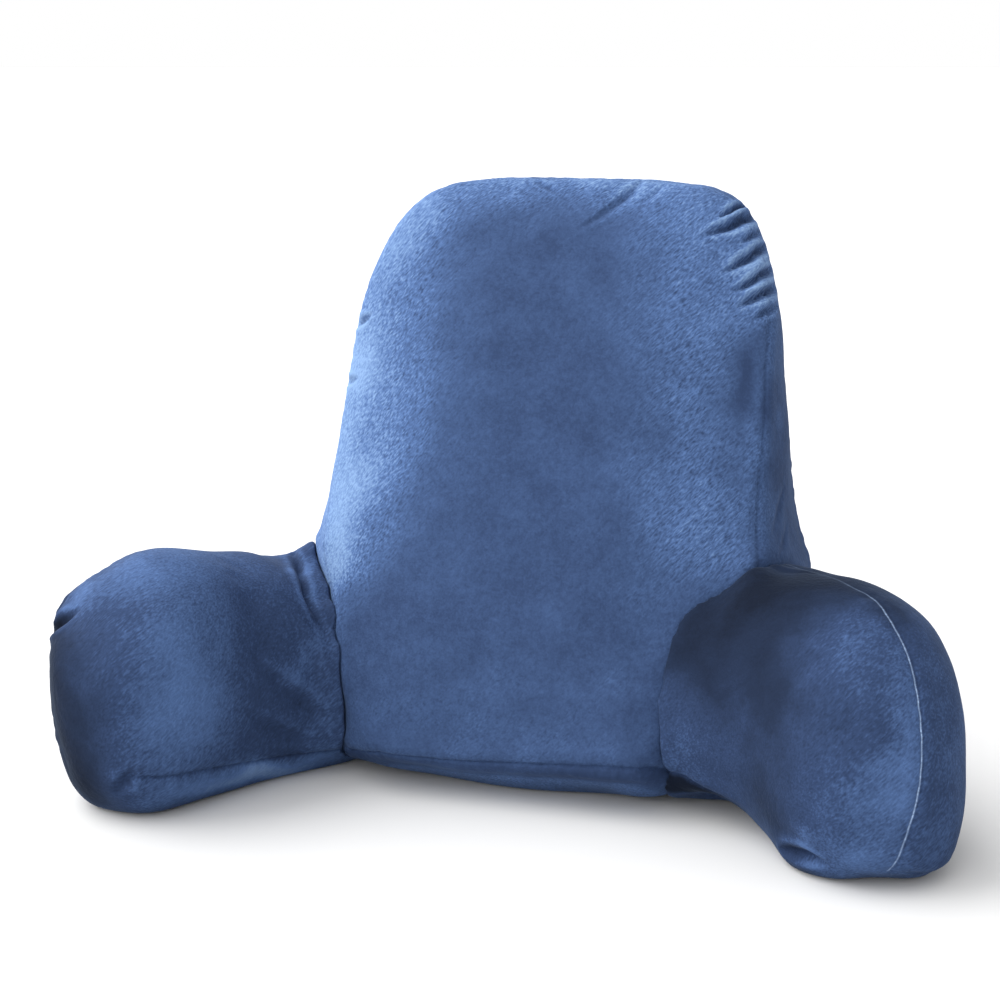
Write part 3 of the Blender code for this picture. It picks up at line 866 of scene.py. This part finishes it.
def sew_seam(piece, seam, sizes, seed):
    """Draw a seam in, pucker the cloth beside it, and mark painted shade in its crease and below it, and its
    light line.
    """
    width = sizes.seam_half_width
    line = ClothLine(piece, smooth_run(seam.spots, seam.closed), width * CREASE_REACH)
    size = np.clip(line.size, 0, 1)
    valley = bell(line.away, 0.0, width)
    crease = bell(line.away, 0.0, width * CREASE_WIDTH)
    lips = bell(line.away, SEAM_LIP.place * width, SEAM_LIP.width * width)
    wave = np.array([noise.noise(Vector((s / GATHER_LENGTH, seed, 0.0))) for s in line.along])
    beside = bell(line.away, 0.0, width * GATHER_REACH) - GATHER_GAP * crease
    form = SEAM_LIP.rise * lips - VALLEY_SHARE * valley - CREASE_SHARE * crease
    drawn = sizes.seam_depth * seam.depth * form
    move_cloth(piece, line.rows, size * (drawn + sizes.pucker * GATHER_GAIN * wave * beside))
    # Painted shade in the seam's crease.
    mark_cloth(piece, "seam", line.rows, crease * size * seam.shade)
    # Painted shade on the cloth that turns under below the seam.
    if seam.below:
        under = rise(line.below, UNDER_START) * rise(PAINTED_SHADE_REACH - line.away, UNDER_FADE)
        mark_cloth(piece, "below", line.rows, under * size * seam.below)
    if seam.parting:
        paint_parting_highlight(piece, seam, line, size, seed)


def paint_nap_and_light(piece, strokes, mottle, tufts, seed):
    """Lay the pile light or dark and paint light and shade in soft strokes, mottle it in small patches, and add
    the painted highlights and shade of the seams and folds, for the cloth's colour to follow.
    """
    points = points_of(piece.data)
    shift = Vector((seed, 0, 0))
    noise.seed_set(WANDER_SEED)
    wander = np.array(
        [
            noise.noise_vector(Vector(p) / WIDE_WANDER + shift)
            + noise.noise_vector(Vector(p) / FINE_WANDER) * FINE_WANDER_SHARE
            for p in points
        ]
    )
    strayed = points + wander * WANDER
    value = np.full(len(points), PLAIN_PILE)
    for stroke in strokes:
        value += stroke.lightness * nearness(strayed, stroke)
    value += mottle * np.array([noise.fractal(Vector(p) / MOTTLE_SIZE + shift, *MOTTLE_NOISE) for p in points])
    # The folds' painted highlights, and the painted shade below seams and on the lower sides of folds.
    value += read_mark(piece, "ridge") - read_mark(piece, "below")
    mark_cloth(piece, "nap", np.arange(len(points)), value)
    mark_cloth(piece, "tufts", np.arange(len(points)), np.interp(value, *zip(*tufts)))


# ---- making a cushion ------------------------------------------------------------------------------


def copy_node(node, name):
    """A copy of a node's mesh, with its loose triangles merged."""
    piece = bpy.data.objects.new(name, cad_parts[node].data.copy())
    piece.data.name = name
    piece.data.materials.clear()
    bpy.context.scene.collection.objects.link(piece)
    pick(piece)
    bpy.ops.object.mode_set(mode="EDIT")
    bpy.ops.mesh.select_all(action="SELECT")
    bpy.ops.mesh.remove_doubles(threshold=MERGE_WITHIN)
    bpy.ops.mesh.normals_make_consistent(inside=False)
    bpy.ops.object.mode_set(mode="OBJECT")
    return piece


def held_share(piece, neighbours, seams):
    """0 where the cloth is held: at a neighbour, at the base and at a seam; 1 where it is free."""
    points = points_of(piece.data)
    free = rise(points[:, 2] - BASE_HOLD.start, BASE_HOLD.over)
    for node in neighbours:
        tree = surface_of(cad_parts[node].data)
        found = (tree.find_nearest(Vector(p), NEIGHBOUR_SEARCH)[3] for p in points)
        away = np.array([distance or NEIGHBOUR_SEARCH for distance in found])
        free = np.minimum(free, rise(away - NEIGHBOUR_HOLD.start, NEIGHBOUR_HOLD.over))
    for seam in seams:
        line = ClothLine(piece, smooth_run(seam.spots, seam.closed), SEAM_HOLD.start + SEAM_HOLD.over)
        share = rise(line.away - SEAM_HOLD.start, SEAM_HOLD.over)
        share = 1 - (1 - share) * np.clip(line.size * seam.depth * SEAM_HOLD_GAIN, 0, 1)
        free[line.rows] = np.minimum(free[line.rows], share)
    return free


def weigh(piece, name, share):
    """Put a share on each of a piece's vertices, as a vertex group that modifiers read."""
    group = piece.vertex_groups.new(name=name)
    for n, value in enumerate(share):
        if value > 0:
            group.add([n], float(value), "REPLACE")
    return group


def relax(piece, share, rounds):
    """Smooth the mesh where share is above 0."""
    group = weigh(piece, "free", share)
    soft = piece.modifiers.new("relax", "SMOOTH")
    soft.factor = SMOOTHING
    soft.iterations = rounds
    soft.vertex_group = group.name
    pick(piece)
    bpy.ops.object.modifier_apply(modifier="relax")
    piece.vertex_groups.remove(piece.vertex_groups["free"])


def fill_cloth(piece, free, sizes):
    """Draw the cloth in, then blow it up between its seams, and cap how far it goes."""
    points = points_of(piece.data)
    normals = normals_of(piece.data)
    slack = points - normals * (sizes.slack * free)[:, None]
    place_points(piece.data, slack)
    group = weigh(piece, "held", 1 - free)
    swelling = piece.modifiers.new("filling", "CLOTH")
    for name, value in FILLING.items():
        setattr(swelling.settings, name, value)
    swelling.settings.effector_weights.gravity = 0.0
    swelling.settings.vertex_group_mass = group.name
    swelling.collision_settings.use_collision = False
    swelling.point_cache.frame_start = 1
    swelling.point_cache.frame_end = FILLING_FRAMES
    for step in range(1, FILLING_FRAMES + 1):
        bpy.context.scene.frame_set(step)
    pick(piece)
    bpy.ops.object.modifier_apply(modifier="filling")
    bpy.context.scene.frame_set(1)
    piece.vertex_groups.remove(piece.vertex_groups["held"])
    move = points_of(piece.data) - slack
    length = np.linalg.norm(move, axis=1, keepdims=True)
    cap = sizes.swell * free[:, None]
    place_points(piece.data, slack + move * np.minimum(1, cap / np.maximum(length, 1e-9)))


def settle_filling(piece, free, sizes, seed):
    """Give the filling soft lumps at two sizes."""
    points = points_of(piece.data)
    normals = normals_of(piece.data)
    lumps = np.array(
        [
            noise.noise(Vector(p) / LARGE_LUMP + Vector((seed, 0, 0)))
            + SMALL_LUMP_SHARE * noise.noise(Vector(p) / SMALL_LUMP + Vector((0, seed, 0)))
            for p in points
        ]
    )
    place_points(piece.data, points + normals * (lumps * sizes.unevenness * free)[:, None])


def rest_flat(piece):
    """Keep the underside on the base."""
    points = points_of(piece.data)
    points[:, 2] = np.maximum(points[:, 2], 0.0)
    place_points(piece.data, points)


def subdivide(piece):
    """Halve all the cloth's faces, and round them."""
    finer = piece.modifiers.new("finer", "SUBSURF")
    finer.levels = 1
    finer.render_levels = 1
    pick(piece)
    bpy.ops.object.modifier_apply(modifier="finer")


def refine_near(piece, lines, reach):
    """Halve the cloth's faces near the given seams and folds, so that their creases come out crisp."""
    tree = surface_of(piece.data)
    runs = [smooth_run(line.spots, getattr(line, "closed", False)) for line in lines]
    finder = spot_finder([tree.find_nearest(spot.xyz)[0] for run in runs for spot in run])
    pick(piece)
    bpy.ops.object.mode_set(mode="EDIT")
    bpy.ops.mesh.select_mode(type="FACE")
    bpy.ops.mesh.select_all(action="DESELECT")
    bpy.ops.object.mode_set(mode="OBJECT")
    for face in piece.data.polygons:
        face.select = finder.find(face.center)[2] < reach
    bpy.ops.object.mode_set(mode="EDIT")
    bpy.ops.mesh.subdivide(number_cuts=1, smoothness=0.0)
    bpy.ops.object.mode_set(mode="OBJECT")


# A cushion: the node that it replaces, its name, the nodes beside it, its lines, its nap with painted light and
# shade, its tufts, the size of the remesh's faces, how far its pile is mottled, its material slot, and the seed
# of its noise.
Cushion = namedtuple("Cushion", "node name neighbours seams folds strokes tufts voxel mottle slot seed")


def make_cushion(cushion):
    """The whole making of one filled piece."""
    sizes = bpy.context.scene.pillow_sizes
    piece = copy_node(cushion.node, cushion.name)
    piece.data.remesh_voxel_size = cushion.voxel
    piece.data.remesh_voxel_adaptivity = 0.0
    pick(piece)
    bpy.ops.object.voxel_remesh()
    relax(piece, np.ones(len(piece.data.vertices)), REMESHED_ROUNDS)
    relax(piece, held_share(piece, cushion.neighbours, ()), FREE_ROUNDS)
    free = held_share(piece, cushion.neighbours, cushion.seams)
    fill_cloth(piece, free, sizes)
    relax(piece, rise(free, HALF_FREE), FILLED_ROUNDS)
    settle_filling(piece, free, sizes, cushion.seed)
    pull_cloth(piece, PULLS)
    subdivide(piece)
    refine_near(piece, cushion.seams + cushion.folds, sizes.fine_reach)
    parted_highlight = tuple(seam for seam in cushion.seams if seam.parting)
    if parted_highlight:
        refine_near(piece, parted_highlight, sizes.fine_reach / 2)
    for n, seam in enumerate(cushion.seams):
        sew_seam(piece, seam, sizes, cushion.seed + n)
    for fold in cushion.folds:
        press_fold(piece, fold)
    rest_flat(piece)
    paint_nap_and_light(piece, cushion.strokes, cushion.mottle, cushion.tufts, cushion.seed)
    piece.data.materials.append(brushed_plush())
    pick(piece)
    bpy.ops.object.shade_smooth()
    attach(piece, "root")
    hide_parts(cushion.node)


# ---- material --------------------------------------------------------------------------------------


def brushed_plush():
    """Short polyester plush, knitted and brushed.

    Its pile lies in patches, so one dye reads dark where the tips point at the eye and light where they lean
    away; its colour follows those patches together with painted light and shade, painted shade in the creases
    of seams and folds, and a light line of parted pile and painted highlight beside some seams. It stands up in
    slanting flecks where it is brushed, is smooth where it is laid dark, and its tips catch a faint pale sheen
    at the edges. Grain and flecks are drawn coarser than its hairs, so that they show.
    """
    existing = bpy.data.materials.get("brushed_navy_plush")
    if existing:
        return existing
    colours = bpy.context.scene.pillow_colours
    material = bpy.data.materials.new("brushed_navy_plush")
    material.use_nodes = True
    tree = material.node_tree
    tree.nodes.clear()
    place = add_node(tree, "ShaderNodeTexCoord").outputs["Object"]
    slanted = add_node(
        tree,
        "ShaderNodeMapping",
        {
            "vector_type": "TEXTURE",
            "Rotation": (-FRONT_LEAN, FLECK_SLANT, 0.0),
            "Scale": (1.0, 1.0, FLECK_LENGTH),
        },
        {"Vector": place},
    ).outputs["Vector"]
    grain, flecks, clumps, patches = (
        add_node(
            tree,
            "ShaderNodeTexNoise",
            {"Scale": 1000 / pattern.millimetres, "Detail": pattern.detail, "Roughness": 0.5},
            {"Vector": source},
        ).outputs["Fac"]
        for pattern, source in ((GRAIN, place), (FLECKS, slanted), (CLUMPS, place), (PATCHES, place))
    )
    # Nap with painted light and shade, tufts, painted shade in creases, and the light line of parted pile and
    # painted highlight.
    nap, raised, seam, parting = (
        add_node(tree, "ShaderNodeAttribute", {"attribute_name": name}).outputs["Fac"]
        for name in ("nap", "tufts", "seam", "parting")
    )

    # How light the cloth is: its nap together with painted light and shade, with each pattern's swing either
    # side of its middle.
    swings = [
        add_node(tree, "ShaderNodeMath", {"operation": "SUBTRACT", 1: 0.5}, {0: pattern}).outputs[0]
        for pattern in (flecks, patches, clumps, grain)
    ]
    lightness = add_node(
        tree, "ShaderNodeMath", {"operation": "MULTIPLY_ADD"}, {0: swings[0], 1: raised, 2: nap}
    ).outputs[0]
    for swing, amount in zip(swings[1:], (PATCH_CONTRAST, CLUMP_CONTRAST, GRAIN_CONTRAST)):
        lightness = add_node(
            tree, "ShaderNodeMath", {"operation": "MULTIPLY_ADD", 1: amount}, {0: swing, 2: lightness}
        ).outputs[0]
    ramp = add_node(tree, "ShaderNodeValToRGB", {}, {"Fac": lightness})
    stops = ramp.color_ramp.elements
    while len(stops) < len(PILE_STOPS):
        stops.new(1.0)
    for stop, (at, tone) in zip(stops, PILE_STOPS):
        stop.position = at
        stop.color = linear(getattr(colours, tone))

    # Painted shade darkens the plush in the creases of seams and folds, and beside some seams a light line
    # shows parted pile and a painted highlight.
    shade = add_node(
        tree, "ShaderNodeMath", {"operation": "MULTIPLY", 1: PAINTED_SEAM_SHADE_SHARE}, {0: seam}
    ).outputs[0]
    shaded = add_node(
        tree,
        "ShaderNodeMix",
        {"data_type": "RGBA", "blend_type": "MULTIPLY", 7: PAINTED_SEAM_SHADE},
        {0: shade, 6: ramp.outputs["Color"]},
    ).outputs[2]
    colour = add_node(
        tree, "ShaderNodeMix", {"data_type": "RGBA", 7: linear(colours.parted_highlight)}, {0: parting, 6: shaded}
    ).outputs[2]

    # Relief: clumps with grain on them, and flecks where the pile stands up.
    height = add_node(
        tree, "ShaderNodeMath", {"operation": "MULTIPLY_ADD", 1: GRAIN_HEIGHT}, {0: grain, 2: clumps}
    ).outputs[0]
    tall = add_node(tree, "ShaderNodeMath", {"operation": "MULTIPLY", 1: FLECK_HEIGHT}, {0: raised}).outputs[0]
    height = add_node(
        tree, "ShaderNodeMath", {"operation": "MULTIPLY_ADD"}, {0: flecks, 1: tall, 2: height}
    ).outputs[0]
    bump = add_node(
        tree, "ShaderNodeBump", {"Strength": PILE_RELIEF, "Distance": PILE_HEIGHT}, {"Height": height}
    )
    shader = add_node(
        tree,
        "ShaderNodeBsdfPrincipled",
        {
            "Roughness": 0.9,
            "Specular IOR Level": 0.04,
            "Sheen Weight": 0.12,
            "Sheen Roughness": 0.35,
            "Sheen Tint": linear(colours.sheen),
        },
        {"Base Color": colour, "Normal": bump.outputs["Normal"]},
    )
    add_node(tree, "ShaderNodeOutputMaterial", {}, {"Surface": shader.outputs["BSDF"]})
    return material


# ---- operators -------------------------------------------------------------------------------------


class PILLOW_OT_backrest(bpy.types.Operator):
    """Make the filled backrest with its crowned front, boxing and back"""

    bl_idname = "pillow.backrest"
    bl_label = "Backrest"

    def execute(self, context):
        front = panel_seam("front", FRONT_FOOT_Y, FRONT_LEAN, FRONT_ROLL, FRONT_SEAM_SIZES)
        back = panel_seam("back", BACK_FOOT_Y, BACK_LEAN, 0.0, BACK_SEAM_SIZES)
        make_cushion(
            Cushion(
                node="backrest",
                name="backrest_cushion",
                neighbours=("arm_left", "arm_right"),
                seams=(
                    Seam(depth=1.0, shade=0.9, below=0.0, parting=0.0, closed=True, spots=front),
                    Seam(depth=0.9, shade=0.7, below=0.0, parting=0.0, closed=True, spots=back),
                    FRONT_FOOT_SEAM,
                ),
                folds=BACKREST_FOLDS,
                strokes=BACKREST_NAP_AND_LIGHT,
                tufts=BACKREST_TUFTS,
                voxel=0.0062,
                mottle=0.022,
                slot="plush_body",
                seed=1,
            )
        )
        return {"FINISHED"}


class PILLOW_OT_arms(bpy.types.Operator):
    """Make the two filled arms"""

    bl_idname = "pillow.arms"
    bl_label = "Arms"

    def execute(self, context):
        left_seams = (LEFT_TOP_SEAM, LEFT_BASE_SEAM, LEFT_FOOT_SEAM)
        right_seams = (RIGHT_TOP_SEAM, RIGHT_BASE_SEAM, RIGHT_FOOT_SEAM)
        for side, seams, folds, strokes, mottle, seed in (
            ("left", left_seams, ARM_LEFT_FOLDS, ARM_LEFT_NAP_AND_LIGHT, 0.03, 11),
            ("right", right_seams, ARM_RIGHT_FOLDS, ARM_RIGHT_NAP_AND_LIGHT, 0.05, 21),
        ):
            make_cushion(
                Cushion(
                    node=f"arm_{side}",
                    name=f"arm_{side}_cushion",
                    neighbours=("backrest",),
                    seams=seams,
                    folds=folds,
                    strokes=strokes,
                    tufts=ARM_TUFTS,
                    voxel=0.0048,
                    mottle=mottle,
                    slot="plush_arms",
                    seed=seed,
                )
            )
        return {"FINISHED"}


class PILLOW_OT_stage(bpy.types.Operator):
    """Set the pale floor, the soft lights and the camera"""

    bl_idname = "pillow.stage"
    bl_label = "Stage"

    def execute(self, context):
        colours = context.scene.pillow_colours
        bpy.ops.object.select_all(action="DESELECT")
        bpy.ops.mesh.primitive_circle_add(
            radius=FLOOR_RADIUS, vertices=64, fill_type="NGON", location=(0.0, 0.0, -FLOOR_DROP)
        )
        floor = context.active_object
        floor.name = "floor"
        bpy.ops.object.transform_apply(location=True, rotation=False, scale=False)
        # Matt studio paper, pale and even.
        paper = bpy.data.materials.new("studio_paper")
        paper.use_nodes = True
        shader = paper.node_tree.nodes["Principled BSDF"]
        shader.inputs["Base Color"].default_value = linear(colours.floor)
        shader.inputs["Roughness"].default_value = 0.9
        floor.data.materials.append(paper)

        world = bpy.data.worlds.new("studio")
        context.scene.world = world
        world.use_nodes = True
        world.node_tree.nodes["Background"].inputs["Color"].default_value = linear(colours.sky)
        world.node_tree.nodes["Background"].inputs["Strength"].default_value = 1.0
        context.scene.view_settings.view_transform = "Standard"
        for lamp in LAMPS:
            light = bpy.data.lights.new(lamp.name, "SUN")
            light.angle = math.radians(lamp.softness)
            light.energy = lamp.strength
            holder = bpy.data.objects.new(lamp.name, light)
            context.scene.collection.objects.link(holder)
            holder.rotation_euler = (-Vector(lamp.comes_from)).to_track_quat("-Z", "Y").to_euler()

        target = Vector(CAMERA_TARGET)
        away = Vector(
            (
                math.sin(CAMERA_TURN) * math.cos(CAMERA_RISE),
                -math.cos(CAMERA_TURN) * math.cos(CAMERA_RISE),
                math.sin(CAMERA_RISE),
            )
        )
        lens = bpy.data.cameras.new("camera")
        lens.lens = CAMERA_LENS
        camera = bpy.data.objects.new("camera", lens)
        context.scene.collection.objects.link(camera)
        camera.location = target + away * CAMERA_AWAY
        camera.rotation_euler = (-away).to_track_quat("-Z", "Y").to_euler()
        context.scene.camera = camera
        return {"FINISHED"}


class PILLOW_PT_panel(bpy.types.Panel):
    """Lists the pillow's pieces"""

    bl_idname = "PILLOW_PT_panel"
    bl_label = "Reading Pillow"
    bl_space_type = "VIEW_3D"
    bl_region_type = "UI"
    bl_category = "Reading Pillow"

    def draw(self, context):
        for kind in (PILLOW_OT_backrest, PILLOW_OT_arms, PILLOW_OT_stage):
            self.layout.operator(kind.bl_idname)


CLASSES = (PillowSizes, PillowColours, PILLOW_OT_backrest, PILLOW_OT_arms, PILLOW_OT_stage, PILLOW_PT_panel)


def register():
    """Register the pillow's settings, operators and panel."""
    for kind in CLASSES:
        bpy.utils.register_class(kind)
    bpy.types.Scene.pillow_sizes = bpy.props.PointerProperty(type=PillowSizes)
    bpy.types.Scene.pillow_colours = bpy.props.PointerProperty(type=PillowColours)


def unregister():
    """Take them away again."""
    del bpy.types.Scene.pillow_sizes
    del bpy.types.Scene.pillow_colours
    for kind in reversed(CLASSES):
        bpy.utils.unregister_class(kind)


def main():
    """Make the whole pillow on its stage."""
    register()
    bpy.ops.pillow.backrest()
    bpy.ops.pillow.arms()
    bpy.ops.pillow.stage()


if __name__ == "__main__":
    main()
